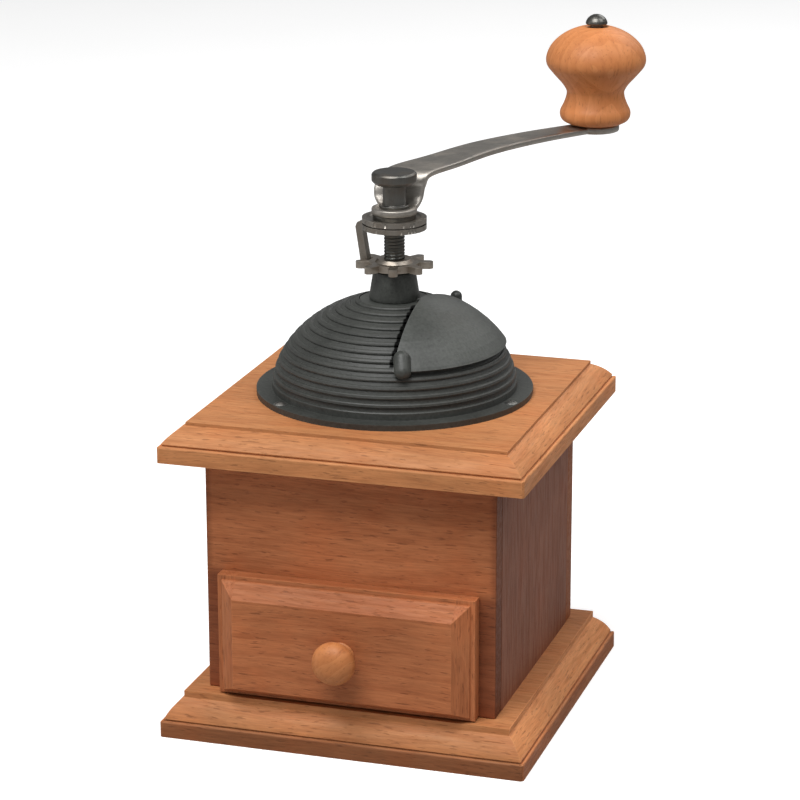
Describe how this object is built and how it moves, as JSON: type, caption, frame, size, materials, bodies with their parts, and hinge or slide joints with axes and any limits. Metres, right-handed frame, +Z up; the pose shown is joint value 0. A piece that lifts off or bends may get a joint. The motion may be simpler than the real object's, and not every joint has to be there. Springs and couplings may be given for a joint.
{
  "type": "hand crank coffee grinder",
  "caption": "Box mill for coffee: a moulded wooden box with a drawer, a ridged iron dome hopper with a swinging shutter, and a conical burr turned by a crank with a wooden grip.",
  "frame": {"origin": "middle of the base board's underside, on the spindle's axis", "axes": "+Z up along the spindle, the drawer faces -Y, +X is the mill's right-hand side seen from the drawer"},
  "size_m": [0.1436, 0.186, 0.2512],
  "materials": {
    "stained_wood": "satin orange-brown stain with fine grain",
    "plain_wood": "unstained, sanded",
    "turned_wood": "light orange varnish",
    "black_iron": "satin grey-black enamel over a fine cast texture",
    "burr_steel": "hardened, dull grey",
    "dark_steel": "dark plated steel",
    "spindle_steel": "machined, slightly dulled",
    "crank_steel": "grey-brown plated steel",
    "screw_steel": "dull zinc",
    "spring_steel": "drawn wire",
    "bush_brass": "plain turned"
  },
  "bodies": {
    "mill_body": {"base_board": "stained_wood", "front_panel": "stained_wood", "back_panel": "stained_wood", "left_wall": "stained_wood", "right_wall": "stained_wood", "drawer_shelf": "plain_wood", "top_board": "stained_wood", "base_screws": "screw_steel", "dome_hopper": "black_iron", "flange_screws": "screw_steel", "shutter_stop": "black_iron", "neck_sleeve": "black_iron", "upper_bush": "bush_brass", "burr_housing": "black_iron", "outer_burr": "burr_steel", "bearing_bridge": "dark_steel", "lower_bush": "bush_brass", "bridge_screws": "screw_steel", "spindle_spring": "spring_steel", "thrust_washer": "dark_steel"},
    "adjuster": {"adjusting_nut": "dark_steel"},
    "crank_and_burr": {"spindle": "spindle_steel", "inner_burr": "burr_steel", "burr_nut": "dark_steel", "spring_washer": "dark_steel", "lock_plate": "dark_steel", "crank_spacer": "dark_steel", "crank_arm": "crank_steel", "crank_nut": "dark_steel", "grip_axle": "spindle_steel"},
    "grip": {"crank_grip": "turned_wood"},
    "shutter": {"hopper_shutter": "black_iron", "shutter_tab": "black_iron"},
    "drawer": {"drawer_front": "stained_wood", "drawer_left_side": "plain_wood", "drawer_right_side": "plain_wood", "drawer_back": "plain_wood", "drawer_bottom": "plain_wood", "drawer_knob": "turned_wood", "knob_screw": "screw_steel"}
  },
  "joints": [
    {"name": "crank_spin", "type": "hinge", "parent": "mill_body", "child": "adjuster", "pos_m": [0, 0, 0.17], "axis": [0, 0, 1], "continuous": true},
    {"name": "grind_gap", "type": "slide", "parent": "adjuster", "child": "crank_and_burr", "axis": [0, 0, 1], "range_m": [-0.001, 0.001], "deforming": ["spindle_spring"]},
    {"name": "grip_spin", "type": "hinge", "parent": "crank_and_burr", "child": "grip", "pos_m": [0.05426, 0.08684, 0.22], "axis": [0, 0, 1], "continuous": true},
    {"name": "shutter_swing", "type": "hinge", "parent": "mill_body", "child": "shutter", "pos_m": [0, 0, 0.156], "axis": [0, 0, -1], "range_deg": [0, 240]},
    {"name": "drawer_slide", "type": "slide", "parent": "mill_body", "child": "drawer", "axis": [0, -1, 0], "range_m": [0, 0.085]}
  ]
}
